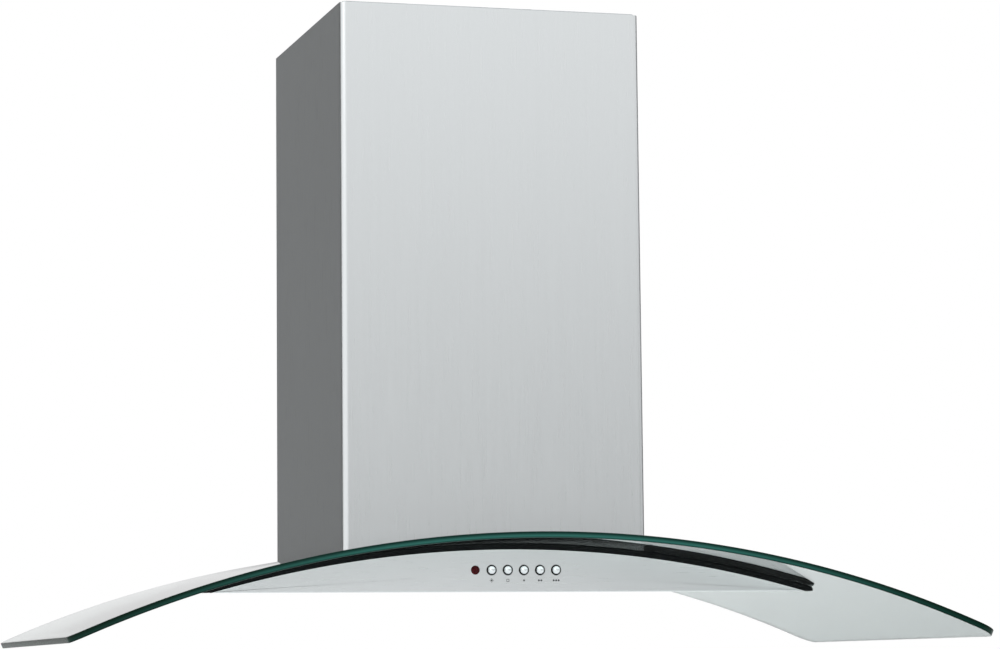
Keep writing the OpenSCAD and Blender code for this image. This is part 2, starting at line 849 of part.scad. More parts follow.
// framed mesh pad, thin where the layers of mesh lie, on a stub pin at each back corner
module filter() {
    rail = 8;
    mesh_t = 2.5;
    recess = (filter_t - mesh_t) / 2;
    pin_out = 3.6;
    x1 = filter_x + filter_w;
    mid = filter_x + filter_w / 2;
    slot_y = filter_front_y + latch_d + 7;
    ear = latch_ear + joint_gap + 0.1;
    color("lightgray") difference() {
        union() {
            difference() {
                block(filter_x, x1, filter_front_y, filter_rear_y, filter_z, filter_z + filter_t);
                block(filter_x + rail, x1 - rail, filter_front_y + filter_rail, filter_rear_y - rail,
                      filter_z - eps, filter_z + recess);
                block(filter_x + rail, x1 - rail, filter_front_y + filter_rail, filter_rear_y - rail,
                      filter_z + filter_t - recess, filter_z + filter_t + eps);
            }
            rod_x(filter_pin_r, filter_x - pin_out, x1 + pin_out, filter_pivot[0], filter_pivot[1]);
        }
        block(mid - latch_w / 2 - joint_gap, mid + latch_w / 2 + joint_gap, filter_front_y - eps,
              slot_y, filter_z - eps, filter_z + latch_t + 0.6);
        block(mid - latch_w / 2 - ear, mid + latch_w / 2 + ear, filter_front_y - eps,
              slot_y, filter_z + 1.5, filter_z + 3.5);
    }
}

// sliding catch with a finger recess, held by an ear in a groove at each end
module filter_latch() {
    mid = filter_x + filter_w / 2;
    y0 = filter_front_y - 0.6;
    color("silver") difference() {
        union() {
            block(mid - latch_w / 2, mid + latch_w / 2, y0, y0 + latch_d, filter_z, filter_z + latch_t);
            block(mid - latch_w / 2 - latch_ear, mid + latch_w / 2 + latch_ear, y0 + 1, y0 + latch_d,
                  filter_z + 1.8, filter_z + 3.2);
        }
        block(mid - latch_w / 4, mid + latch_w / 4, y0 + 3, y0 + 8, filter_z - eps, filter_z + 2.6);
    }
}

module filter_right() { filter(); }
module filter_left() { mirror([1, 0, 0]) filter(); }
module filter_latch_right() { filter_latch(); }
module filter_latch_left() { mirror([1, 0, 0]) filter_latch(); }

// ---- lamps ----

// trim ring below the tray and a reflector can above it
module lamp() {
    trim_t = 1.5;
    seat = 6;
    color(steel) translate([lamp_x, lamp_y, tray_z]) difference() {
        union() {
            rod_z(lamp_r, 0, 0, -trim_t, 0);
            rod_z(lamp_can_r, 0, 0, 0, lamp_can_h);
        }
        rod_z(lens_r - trim_t, 0, 0, -trim_t - eps, eps);
        rod_z(lens_r + joint_gap, 0, 0, -joint_gap, seat);
        rod_z(lamp_can_r - sheet, 0, 0, seat, lamp_can_h - sheet);
    }
}

module lamp_lens() {
    color([0.95, 0.95, 0.9, 0.6]) rod_z(lens_r, lamp_x, lamp_y, tray_z - 0.2, tray_z + 2.3);
}

module lamp_right() { lamp(); }
module lamp_left() { mirror([1, 0, 0]) lamp(); }
module lamp_lens_right() { lamp_lens(); }
module lamp_lens_left() { mirror([1, 0, 0]) lamp_lens(); }

ceiling_plate();
upper_post_fl();
upper_post_fr();
upper_post_rl();
upper_post_rr();
post_bolts();
upper_brace();
upper_cover_front();
upper_cover_rear();
upper_cover_screws();
lower_post_fl();
lower_post_fr();
lower_post_rl();
lower_post_rr();
lower_brace();
frame_bolts();
lower_cover_front();
lower_cover_rear();
lower_cover_screws();
glass_canopy();
canopy_gasket();
glass_clamps();
control_panel();
rear_panel();
top_plate();
bottom_tray();
button_light();
button_stop();
button_speed_1();
button_speed_2();
button_speed_3();
indicator_lens();
panel_icons();
switch_block();
switch_bracket();
lamp_driver();
motor_box();
box_screws();
fan_scroll();
fan_wheel();
motor_shaft();
motor();
motor_spider();
duct_collar();
damper_left();
damper_right();
damper_pin();
junction_box();
junction_lid();
cable_gland();
capacitor();
wiring();
filter_left();
filter_right();
filter_latch_left();
filter_latch_right();
lamp_left();
lamp_right();
lamp_lens_left();
lamp_lens_right();
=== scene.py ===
import bmesh
import bpy
import json
from math import asin, atan, cos, pi, radians, sin, sqrt
from mathutils import Matrix, Vector


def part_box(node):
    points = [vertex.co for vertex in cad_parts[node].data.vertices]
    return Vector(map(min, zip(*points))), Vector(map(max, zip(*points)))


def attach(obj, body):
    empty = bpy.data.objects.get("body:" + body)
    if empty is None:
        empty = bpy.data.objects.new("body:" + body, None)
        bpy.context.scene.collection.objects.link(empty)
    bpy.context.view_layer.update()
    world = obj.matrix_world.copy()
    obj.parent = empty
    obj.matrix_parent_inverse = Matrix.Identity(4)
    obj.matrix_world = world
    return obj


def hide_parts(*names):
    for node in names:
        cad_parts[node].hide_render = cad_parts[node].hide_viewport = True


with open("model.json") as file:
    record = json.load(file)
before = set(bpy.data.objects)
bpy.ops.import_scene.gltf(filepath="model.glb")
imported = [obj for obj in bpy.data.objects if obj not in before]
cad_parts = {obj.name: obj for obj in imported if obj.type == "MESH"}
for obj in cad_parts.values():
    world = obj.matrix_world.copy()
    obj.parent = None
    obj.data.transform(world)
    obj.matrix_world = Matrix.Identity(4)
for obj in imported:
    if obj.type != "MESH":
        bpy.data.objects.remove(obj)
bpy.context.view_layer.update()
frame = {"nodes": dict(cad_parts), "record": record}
nodes = frame["nodes"]
slotOf = {part["node"]: part["material_slot"] for part in frame["record"]["subparts"]}
bodyOf = {node: body for body, members in frame["record"]["behaviour"]["bodies"].items() for node in members}
mm = 0.001
print("frame loaded:", len(nodes), "nodes")


# ---------- small helpers ----------

def toLinear(hexColour):
    channels = [int(hexColour[i:i + 2], 16) / 255 for i in (1, 3, 5)]
    return [c / 12.92 if c <= 0.04045 else ((c + 0.055) / 1.055) ** 2.4 for c in channels] + [1.0]


def addNode(tree, kind, settings=None, inputs=None):
    # inputs: socket name or number -> a value, or (node, output socket)
    node = tree.nodes.new(kind)
    for name, value in (settings or {}).items():
        setattr(node, name, value)
    for name, value in (inputs or {}).items():
        if isinstance(value, tuple) and len(value) == 2 and isinstance(value[0], bpy.types.Node):
            tree.links.new(value[0].outputs[value[1]], node.inputs[name])
        else:
            node.inputs[name].default_value = value
    return node


def newMaterial(name):
    material = bpy.data.materials.new(name)
    material.use_nodes = True
    tree = material.node_tree
    tree.nodes.clear()
    output = addNode(tree, "ShaderNodeOutputMaterial")
    return material, tree, output


def surfaceOf(tree, output, inputs):
    shader = addNode(tree, "ShaderNodeBsdfPrincipled", None, inputs)
    tree.links.new(shader.outputs["BSDF"], output.inputs["Surface"])
    return shader


def newPiece(name, bm, materials, body, replaces=(), bevel=0, weighted=False):
    mesh = bpy.data.meshes.new(name)
    bmesh.ops.recalc_face_normals(bm, faces=bm.faces)
    bm.to_mesh(mesh)
    bm.free()
    piece = bpy.data.objects.new(name, mesh)
    bpy.context.scene.collection.objects.link(piece)
    for material in materials:
        mesh.materials.append(material)
    if bevel:
        edge = piece.modifiers.new("edges", "BEVEL")
        edge.width = bevel
        edge.segments = 2
        edge.limit_method = "ANGLE"
        edge.angle_limit = radians(35)
        edge.harden_normals = True
    for face in mesh.polygons:
        face.use_smooth = True
    mesh.set_sharp_from_angle(angle=radians(34))
    if weighted:
        flats = piece.modifiers.new("flats", "WEIGHTED_NORMAL")
        flats.keep_sharp = True
    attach(piece, body)
    if replaces:
        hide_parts(*replaces)
    return piece


def lathe(bm, profile, centre, axis="z", steps=48, materialOf=None):
    # profile: (radius, height) points, turned about an axis through centre
    rings = []
    for radius, height in profile:
        ring = []
        for k in range(1 if radius == 0 else steps):
            a = 2 * pi * k / steps
            p = Vector((radius * cos(a), radius * sin(a), height))
            if axis == "y":
                p = Vector((p.x, height, p.y))
            if axis == "x":
                p = Vector((height, p.x, p.y))
            ring.append(bm.verts.new(centre + p))
        rings.append(ring)
    for i in range(len(rings) - 1):
        low, high = rings[i], rings[i + 1]
        for k in range(steps):
            a, b = low[k % len(low)], low[(k + 1) % len(low)]
            c, d = high[(k + 1) % len(high)], high[k % len(high)]
            corners = []
            for v in (a, b, c, d):
                if v not in corners:
                    corners.append(v)
            if len(corners) > 2:
                face = bm.faces.new(corners)
                if materialOf:
                    face.material_index = materialOf(i)


def boxIn(bm, low, high, index=0):
    corners = [bm.verts.new((x, y, z)) for x in (low[0], high[0])
               for y in (low[1], high[1]) for z in (low[2], high[2])]
    for quad in ((0, 1, 3, 2), (4, 6, 7, 5), (0, 4, 5, 1), (2, 3, 7, 6), (0, 2, 6, 4), (1, 5, 7, 3)):
        face = bm.faces.new([corners[i] for i in quad])
        face.material_index = index


# ---------- the arch that the glass, gasket and body share ----------

glass = {"thickness": 6 * mm, "cornerRadius": 18 * mm, "arris": 0.5 * mm, "stepsAcross": 160}

glassLow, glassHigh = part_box("glass_canopy")
halfWidth = glassHigh.x
sag = glassHigh.z - glassLow.z
archRadius = (sag ** 2 + halfWidth ** 2 - glass["thickness"] ** 2) / (2 * (sag - glass["thickness"]))
archCentre = glassHigh.z - archRadius
underGlass = archRadius - glass["thickness"]
panelLow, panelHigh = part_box("control_panel")
bodyRadius = sqrt(panelHigh.x ** 2 + (panelLow.z - archCentre) ** 2)


def archHeight(radius, x):
    return archCentre + sqrt(radius ** 2 - x ** 2)


print("arch radius %.1f mm, body radius %.1f mm" % (archRadius / mm, bodyRadius / mm))


# ---------- materials ----------

def brushedSteel(name, colour, grainAxis, roughness, grainWidth, streakLength, depth, anisotropy=0.6,
                 turn=0.0):
    # stainless sheet, belt-brushed: one soft, stretched reflection and faint streaks along the grain
    material, tree, output = newMaterial(name)
    place = addNode(tree, "ShaderNodeTexCoord")
    # one streak about grainWidth across and streakLength long; real scratches are 0.1 mm, drawn coarser so
    # they show
    across, along = 1 / grainWidth, 1 / streakLength
    scale = {"x": (along, across, across), "y": (across, along, across),
             "z": (across, across, along)}[grainAxis]
    fine = addNode(tree, "ShaderNodeMapping", None, {"Vector": (place, "Object"), "Scale": scale})
    streak = addNode(tree, "ShaderNodeTexNoise", {"noise_dimensions": "3D"},
                     {"Vector": (fine, "Vector"), "Scale": 1.0, "Detail": 3.0, "Roughness": 0.6})
    broad = addNode(tree, "ShaderNodeMapping", None,
                    {"Vector": (place, "Object"), "Scale": tuple(s * 0.12 for s in scale)})
    band = addNode(tree, "ShaderNodeTexNoise", None,
                   {"Vector": (broad, "Vector"), "Scale": 1.0, "Detail": 1.0, "Roughness": 0.5})
    tone = addNode(tree, "ShaderNodeMapRange", None,
                   {"Value": (streak, "Fac"), "From Min": 0.3, "From Max": 0.7, "To Min": 0.993,
                    "To Max": 1.006})
    bandTone = addNode(tree, "ShaderNodeMapRange", None,
                       {"Value": (band, "Fac"), "From Min": 0.3, "From Max": 0.7, "To Min": 0.995,
                        "To Max": 1.004})
    both = addNode(tree, "ShaderNodeMath", {"operation": "MULTIPLY"},
                   {0: (tone, "Result"), 1: (bandTone, "Result")})
    tinted = addNode(tree, "ShaderNodeMix", {"data_type": "RGBA", "blend_type": "MULTIPLY"},
                     {"Factor": 1.0, 6: toLinear(colour), 7: (both, "Value")})
    rough = addNode(tree, "ShaderNodeMapRange", None,
                    {"Value": (streak, "Fac"), "From Min": 0.3, "From Max": 0.7,
                     "To Min": roughness - 0.03, "To Max": roughness + 0.03})
    bump = addNode(tree, "ShaderNodeBump", None, {"Height": (streak, "Fac"), "Distance": depth,
                                                  "Strength": 0.5})
    direction = addNode(tree, "ShaderNodeTangent", {"direction_type": "RADIAL", "axis": "Z"})
    surfaceOf(tree, output, {
        "Base Color": (tinted, 2), "Metallic": 1.0, "Roughness": (rough, "Result"), "Normal": (bump,
                                                                                               "Normal"),
        "Anisotropic": anisotropy, "Anisotropic Rotation": turn, "Tangent": (direction, "Tangent")})
    return material


def zincSheet():
    # hot-dip galvanised sheet: pale blue-grey with a faint crystalline spangle
    material, tree, output = newMaterial("galvanisedSheet")
    place = addNode(tree, "ShaderNodeTexCoord")
    spangle = addNode(tree, "ShaderNodeTexVoronoi", {"feature": "F1"},
                      {"Vector": (place, "Object"), "Scale": 1 / 0.009, "Randomness": 1.0})
    tone = addNode(tree, "ShaderNodeMix", {"data_type": "RGBA"},
                   {"Factor": (spangle, "Color"), 6: toLinear("#a3a8ab"), 7: toLinear("#c2c6c8")})
    rough = addNode(tree, "ShaderNodeMapRange", None,
                    {"Value": (spangle, "Distance"), "To Min": 0.34, "To Max": 0.5})
    surfaceOf(tree, output, {"Base Color": (tone, 2), "Metallic": 0.9, "Roughness": (rough, "Result")})
    return material


def chromePlate(name, colour, roughness):
    # bright nickel-chrome plate: mirror reflections with a trace of polishing haze
    material, tree, output = newMaterial(name)
    place = addNode(tree, "ShaderNodeTexCoord")
    haze = addNode(tree, "ShaderNodeTexNoise", None, {"Vector": (place, "Object"), "Scale": 1 / 0.004,
                                                      "Detail": 2.0})
    rough = addNode(tree, "ShaderNodeMapRange", None,
                    {"Value": (haze, "Fac"), "To Min": roughness * 0.7, "To Max": roughness * 1.5})
    surfaceOf(tree, output, {"Base Color": toLinear(colour), "Metallic": 1.0, "Roughness": (rough, "Result")})
    return material


def mouldedPlastic(name, colour, roughness, grain=0.6 * mm):
    # injection-moulded plastic with a fine spark-eroded grain
    material, tree, output = newMaterial(name)
    place = addNode(tree, "ShaderNodeTexCoord")
    pits = addNode(tree, "ShaderNodeTexNoise", None, {"Vector": (place, "Object"), "Scale": 1 / grain,
                                                      "Detail": 3.0})
    rough = addNode(tree, "ShaderNodeMapRange", None,
                    {"Value": (pits, "Fac"), "To Min": roughness - 0.06, "To Max": roughness + 0.08})
    bump = addNode(tree, "ShaderNodeBump", None, {"Height": (pits, "Fac"), "Distance": 0.05 * mm,
                                                  "Strength": 0.4})
    surfaceOf(tree, output, {"Base Color": toLinear(colour), "Roughness": (rough, "Result"),
                             "IOR": 1.49, "Normal": (bump, "Normal")})
    return material


def extrudedRubber(name, colour, roughness):
    # EPDM profile, extruded: near-black with faint lines along its length and a soft grey sheen
    material, tree, output = newMaterial(name)
    place = addNode(tree, "ShaderNodeTexCoord")
    speck = addNode(tree, "ShaderNodeTexNoise", None, {"Vector": (place, "Object"), "Scale": 1 / 0.0012,
                                                       "Detail": 4.0})
    tone = addNode(tree, "ShaderNodeMix", {"data_type": "RGBA"},
                   {"Factor": (speck, "Fac"), 6: toLinear(colour), 7: toLinear("#0f1213")})
    rough = addNode(tree, "ShaderNodeMapRange", None,
                    {"Value": (speck, "Fac"), "To Min": roughness - 0.08, "To Max": roughness + 0.08})
    bump = addNode(tree, "ShaderNodeBump", None, {"Height": (speck, "Fac"), "Distance": 0.06 * mm,
                                                  "Strength": 0.4})
    surfaceOf(tree, output, {"Base Color": (tone, 2), "Roughness": (rough, "Result"),
                             "IOR": 1.52, "Specular IOR Level": 0.08, "Normal": (bump, "Normal")})
    return material


def toughenedGlass():
    # float glass, bent and toughened: clear, with the faint blue-grey cast of two surfaces
    material, tree, output = newMaterial("toughenedGlassFace")
    place = addNode(tree, "ShaderNodeTexCoord")
    cast = addNode(tree, "ShaderNodeTexNoise", None, {"Vector": (place, "Object"), "Scale": 1 / 0.25,
                                                      "Detail": 1.0})
    tone = addNode(tree, "ShaderNodeMix", {"data_type": "RGBA"},
                   {"Factor": (cast, "Fac"), 6: toLinear("#e4eeec"), 7: toLinear("#e9f2f0")})
    surfaceOf(tree, output, {"Base Color": (tone, 2), "Roughness": 0.0, "IOR": 1.52,
                             "Transmission Weight": 1.0})
    return material


def paintedLightGlassEdge():
    # the polished rim of the same sheet, with painted light in its colour: the green glow of light that has
    # crossed the whole pane, painted near-black lines of shade at both arrises and a painted lighter core
    material, tree, output = newMaterial("glassEdgePaintedGlowAndShade")
    place = addNode(tree, "ShaderNodeTexCoord")
    spot = addNode(tree, "ShaderNodeSeparateXYZ", None, {"Vector": (place, "Object")})
    lift = addNode(tree, "ShaderNodeMath", {"operation": "SUBTRACT"}, {0: (spot, "Z"), 1: archCentre})
    flat = addNode(tree, "ShaderNodeCombineXYZ", None, {"X": (spot, "X"), "Z": (lift, "Value")})
    reach = addNode(tree, "ShaderNodeVectorMath", {"operation": "LENGTH"}, {0: (flat, "Vector")})
    depth = addNode(tree, "ShaderNodeMapRange", None,
                    {"Value": (reach, "Value"), "From Min": underGlass, "From Max": archRadius})
    # painted light across the thickness: a glowing lighter core and painted dark lines of shade at the arrises
    rim = addNode(tree, "ShaderNodeValToRGB", None, {"Fac": (depth, "Result")})
    stops = rim.color_ramp.elements
    stops[0].position, stops[0].color = 0.0, toLinear("#2c453f")
    stops[1].position, stops[1].color = 1.0, toLinear("#15332d")
    for position, colour in ((0.12, "#193f39"), (0.3, "#2b6058"), (0.5, "#245149"), (0.72, "#0a2f29"),
                             (0.9, "#062620")):
        stop = stops.new(position)
        stop.color = toLinear(colour)
    # painted shade: the rim is painted darker towards the ends of the sheet
    side = addNode(tree, "ShaderNodeMath", {"operation": "ABSOLUTE"}, {0: (spot, "X")})
    paintedEndShade = addNode(tree, "ShaderNodeMapRange", {"interpolation_type": "SMOOTHSTEP"},
                   {"Value": (side, "Value"), "From Min": 0.1, "From Max": halfWidth, "To Max": 0.85})
    endShadedRim = addNode(tree, "ShaderNodeMix", {"data_type": "RGBA"},
                   {"Factor": (paintedEndShade, "Result"), 6: (rim, "Color"), 7: toLinear("#01170c")})
    surfaceOf(tree, output, {"Base Color": (endShadedRim, 2), "Roughness": 0.16, "IOR": 1.52,
                             "Specular IOR Level": 0.08})
    return material


def clearRed():
    # red acrylic lens, moulded: dark wine colour unlit, with a painted glint where the prisms catch the light
    material, tree, output = newMaterial("redAcrylicLens")
    place = addNode(tree, "ShaderNodeTexCoord")
    cells = addNode(tree, "ShaderNodeTexVoronoi", None, {"Vector": (place, "Object"), "Scale": 1 / 0.0016})
    # painted glint: each prism cell is painted lighter red towards its edge
    tone = addNode(tree, "ShaderNodeMix", {"data_type": "RGBA"},
                   {"Factor": (cells, "Distance"), 6: toLinear("#220205"), 7: toLinear("#5a1218")})
    bump = addNode(tree, "ShaderNodeBump", None, {"Height": (cells, "Distance"), "Distance": 0.3 * mm,
                                                  "Strength": 0.6})
    surfaceOf(tree, output, {"Base Color": (tone, 2), "Roughness": 0.2, "IOR": 1.49,
                             "Specular IOR Level": 0.12,
                             "Normal": (bump, "Normal")})
    return material


def frostedGlass():
    # pressed lamp glass, etched inside: milky and even
    material, tree, output = newMaterial("etchedLampGlass")
    place = addNode(tree, "ShaderNodeTexCoord")
    etch = addNode(tree, "ShaderNodeTexNoise", None, {"Vector": (place, "Object"), "Scale": 1 / 0.0008,
                                                      "Detail": 3.0})
    bump = addNode(tree, "ShaderNodeBump", None, {"Height": (etch, "Fac"), "Distance": 0.08 * mm,
                                                  "Strength": 0.5})
    surfaceOf(tree, output, {"Base Color": toLinear("#eef0ee"), "Roughness": 0.45, "IOR": 1.5,
                             "Transmission Weight": 0.55, "Normal": (bump, "Normal")})
    return material


def aluminium(name, colour, roughness):
    # rolled aluminium foil and strip, bright but satin
    material, tree, output = newMaterial(name)
    place = addNode(tree, "ShaderNodeTexCoord")
    rolled = addNode(tree, "ShaderNodeMapping", None, {"Vector": (place, "Object"), "Scale": (120, 2500,
                                                                                              2500)})
    lines = addNode(tree, "ShaderNodeTexNoise", None,
                    {"Vector": (rolled, "Vector"), "Scale": 1.0, "Detail": 2.0})
    rough = addNode(tree, "ShaderNodeMapRange", None,
                    {"Value": (lines, "Fac"), "To Min": roughness - 0.06, "To Max": roughness + 0.08})
    surfaceOf(tree, output, {"Base Color": toLinear(colour), "Metallic": 1.0, "Roughness": (rough, "Result")})
    return material


def knittedMesh():
    # inner layers of crumpled aluminium mesh: bright strands, with painted shade in the gaps between them
    material, tree, output = newMaterial("knittedAluminiumShadedGaps")
    place = addNode(tree, "ShaderNodeTexCoord")
    loops = addNode(tree, "ShaderNodeTexVoronoi", {"feature": "DISTANCE_TO_EDGE"},
                    {"Vector": (place, "Object"), "Scale": 1 / 0.0035})
    wire = addNode(tree, "ShaderNodeMapRange", None, {"Value": (loops, "Distance"), "From Min": 0.04,
                                                      "From Max": 0.2})
    # painted shade: away from the strands the gaps are painted dark grey
    tone = addNode(tree, "ShaderNodeMix", {"data_type": "RGBA"},
                   {"Factor": (wire, "Result"), 6: toLinear("#b9bcbe"), 7: toLinear("#2b2d2f")})
    bump = addNode(tree, "ShaderNodeBump", {"invert": True},
                   {"Height": (wire, "Result"), "Distance": 0.6 * mm, "Strength": 0.8})
    surfaceOf(tree, output, {"Base Color": (tone, 2), "Metallic": 1.0, "Roughness": 0.45,
                             "Normal": (bump, "Normal")})
    return material


def printedInk():
    # screen-printed grey ink, slightly uneven
    material, tree, output = newMaterial("screenPrintedInk")
    place = addNode(tree, "ShaderNodeTexCoord")
    cover = addNode(tree, "ShaderNodeTexNoise", None, {"Vector": (place, "Object"), "Scale": 1 / 0.0007,
                                                       "Detail": 2.0})
    tone = addNode(tree, "ShaderNodeMix", {"data_type": "RGBA"},
                   {"Factor": (cover, "Fac"), 6: toLinear("#2c2d2f"), 7: toLinear("#4a4b4d")})
    surfaceOf(tree, output, {"Base Color": (tone, 2), "Roughness": 0.6, "IOR": 1.5})
    return material


chimneySteel = brushedSteel("brushedSteelUpright", "#d0d3d4", "z", 0.3, 0.6 * mm, 60 * mm, 0.0025 * mm, 0.6,
                            0.0)
bodySteel = brushedSteel("brushedSteelLengthwise", "#d9dbdc", "x", 0.3, 0.6 * mm, 50 * mm, 0.003 * mm, 0.6,
                         0.25)
glassFace = toughenedGlass()
glassEdge = paintedLightGlassEdge()
packedMeshShadedGaps = knittedMesh()
rubber = extrudedRubber("extrudedRubber", "#0a0c0d", 0.4)
buttonChrome = chromePlate("buttonChrome", "#e4e6e8", 0.04)
# gloss black plastic for the button's barrel, flange and stem, and for the collar round the dome, which is put in
# for a painted dark reflection in the dome's rim
buttonBlackPartsAndReflectionCollar = mouldedPlastic("glossBlackAbsAndReflectionCollar", "#060607", 0.16, 2 * mm)

finish = {
    "brushed_steel_cover": chimneySteel,
    "brushed_steel_body": bodySteel,
    "zinc_steel": zincSheet(),
    "dark_fastener": chromePlate("blackOxideSteel", "#3a3b3d", 0.35),
    "bright_screw": chromePlate("zincPlatedSteel", "#c3c6c8", 0.22),
    "glass": glassFace,
    "gasket_rubber": rubber,
    "wire_rubber": mouldedPlastic("wireSleeve", "#121314", 0.5),
    "button_chrome": buttonChrome,
    "indicator_red": clearRed(),
    "icon_ink": printedInk(),
    "black_plastic": mouldedPlastic("blackPolyamide", "#16171a", 0.5),
    "white_plastic": mouldedPlastic("whitePolycarbonate", "#dcdcd7", 0.42),
    "scroll_plastic": mouldedPlastic("greyPolypropylene", "#9a9ea0", 0.45),
    "wheel_plastic": mouldedPlastic("blueGreyPolypropylene", "#54606c", 0.4),
    "motor_case": aluminium("castMotorCase", "#a9abad", 0.4),
    "damper_plastic": mouldedPlastic("blackPolypropylene", "#1d1e20", 0.5),
    "filter_aluminium": aluminium("rolledAluminium", "#d5d7d8", 0.3),
    "latch_chrome": chromePlate("latchChrome", "#d4d6d8", 0.1),
    "lamp_trim": brushedSteel("spunSteelTrim", "#d3d5d6", "x", 0.3, 0.8 * mm, 20 * mm, 0.01 * mm, 0.0),
    "lamp_glass": frostedGlass(),
}
for nodeName, cadNode in nodes.items():
    cadNode.data.materials.clear()
    cadNode.data.materials.append(finish[slotOf[nodeName]])
print("materials ready:", len(bpy.data.materials))


# ---------- glass canopy ----------

def roundedOutline(x0, x1, y0, y1, radius, notch, steps=10):
    # counter-clockwise plan of the sheet, with the notch open at the back
    points = []
    for cx, cy, start in ((x1 - radius, y0 + radius, -pi / 2), (x1 - radius, y1 - radius, 0)):
        points += [(cx + radius * cos(start + pi / 2 * k / steps),
                    cy + radius * sin(start + pi / 2 * k / steps))
                   for k in range(steps + 1)]
    points += [(notch[1], y1), (notch[1], notch[2]), (notch[0], notch[2]), (notch[0], y1)]
    for cx, cy, start in ((x0 + radius, y1 - radius, pi / 2), (x0 + radius, y0 + radius, pi)):
        points += [(cx + radius * cos(start + pi / 2 * k / steps),
                    cy + radius * sin(start + pi / 2 * k / steps))
                   for k in range(steps + 1)]
    return points


def makeGlass():
    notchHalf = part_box("lower_post_fr")[1].x + 4.5 * mm
    outline = roundedOutline(glassLow.x, glassHigh.x, glassLow.y, glassHigh.y, glass["cornerRadius"],
                             (-notchHalf, notchHalf, -notchHalf))
    bm = bmesh.new()
    bm.faces.new([bm.verts.new((x, y, 0)) for x, y in outline])
    # lines across the sheet so that it can bend
    for k in range(1, glass["stepsAcross"]):
        a = asin(halfWidth / archRadius) * (2 * k / glass["stepsAcross"] - 1)
        bmesh.ops.bisect_plane(bm, geom=bm.verts[:] + bm.edges[:] + bm.faces[:],
                               plane_co=(archRadius * sin(a), 0, 0), plane_no=(1, 0, 0))
    top = bm.faces[:]
    made = bmesh.ops.extrude_face_region(bm, geom=top, use_keep_orig=True)
    under = {v for v in made["geom"] if isinstance(v, bmesh.types.BMVert)}
    rimEdges = []
    for v in bm.verts:
        a = asin(v.co.x / archRadius)
        radius = underGlass if v in under else archRadius
        v.co = Vector((radius * sin(a), v.co.y, archCentre + radius * cos(a)))
    bmesh.ops.recalc_face_normals(bm, faces=bm.faces)
    for face in bm.faces:
        kinds = {v in under for v in face.verts}
        face.material_index = 1 if len(kinds) == 2 else 0
    for edge in bm.edges:
        if len({face.material_index for face in edge.link_faces}) == 2:
            rimEdges.append(edge)
    bmesh.ops.bevel(bm, geom=rimEdges, offset=glass["arris"], segments=2, affect="EDGES", profile=0.5,
                    material=1)
    newPiece("glassCanopy", bm, [glassFace, glassEdge], "hood", ["glass_canopy"], weighted=True)


makeGlass()
print("glass made")


# ---------- rubber gasket ----------

gasket = {"width": 12 * mm, "sideWidth": 16 * mm, "trayReach": 262 * mm, "endRound": 3 * mm, "steps": 110}


def makeGasket():
    low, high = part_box("canopy_gasket")
    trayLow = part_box("bottom_tray")[0].z
    middle = (bodyRadius + underGlass) / 2
    half = (underGlass - bodyRadius) / 2
    bm = bmesh.new()

    # (distance in from the strip's face, height from its middle): a bulged face under a thin lip
    face = [(0.9 * mm, -half), (0.25 * mm, -half * 0.82), (0, -half * 0.4), (0.1 * mm, half * 0.1),
            (0.5 * mm, half * 0.5), (1.1 * mm, half * 0.72), (1.1 * mm, half * 0.86), (0.4 * mm, half)]

    def strip(y0, inward, reach, floor):
        section = face + [(gasket["width"], half), (gasket["width"], -half)]
        endAngle = asin(reach / middle)
        roundAngle = gasket["endRound"] / middle
        tail = [(endAngle - roundAngle * (1 - sin(t)), max(cos(t), 0.05)) for t in (0, 0.35, 0.7, 1.0, 1.3,
                                                                                    pi / 2)]
        count = gasket["steps"]
        middleAngles = [(-1 + 2 * k / count) * (endAngle - roundAngle) for k in range(1, count)]
        stations = [(-a, size) for a, size in reversed(tail)] + [(a, 1.0) for a in middleAngles] + tail
        rings = []
        for a, size in stations:
            ring = []
            for depth, rise in section:
                radius = middle + rise * size
                z = max(archCentre + radius * cos(a), floor)
                ring.append(bm.verts.new((radius * sin(a), y0 + inward * depth, z)))
            rings.append(ring)
        for near, far in zip(rings, rings[1:]):
            for k in range(len(section)):
                n = (k + 1) % len(section)
                bm.faces.new((near[k], near[n], far[n], far[k]))
        bm.faces.new(rings[0])
        bm.faces.new(rings[-1])

    strip(low.y, 1, high.x - 0.2 * mm, low.z)
    strip(high.y, -1, gasket["trayReach"], trayLow)
    # side strips over the edges of the tray
    inner = gasket["trayReach"] - gasket["sideWidth"]
    for side in (-1, 1):
        rings = []
        for x in (inner, inner + gasket["sideWidth"] / 2, gasket["trayReach"]):
            ring = []
            for y in (low.y + gasket["width"], high.y - gasket["width"]):
                bottom = max(archHeight(bodyRadius, x), trayLow)
                ring += [bm.verts.new((side * x, y, bottom)),
                         bm.verts.new((side * x, y, archHeight(underGlass, x)))]
            rings.append([ring[0], ring[1], ring[3], ring[2]])
        for near, far in zip(rings, rings[1:]):
            for k in range(4):
                n = (k + 1) % 4
                bm.faces.new((near[k], near[n], far[n], far[k]))
        bm.faces.new(rings[0])
        bm.faces.new(rings[-1])
    newPiece("canopyGasket", bm, [rubber], "hood", ["canopy_gasket"])


makeGasket()
print("gasket made")


# ---------- control panel, buttons, indicator and marks ----------

panel = {"sheet": 1.2 * mm, "flange": 14 * mm, "fold": 8 * mm, "bend": 0.9 * mm, "steps": 120}
buttonNodes = ["button_light", "button_stop", "button_speed_1", "button_speed_2", "button_speed_3"]
faceY = panelLow.y


def middleOf(node):
    low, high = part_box(node)
    return (low + high) / 2


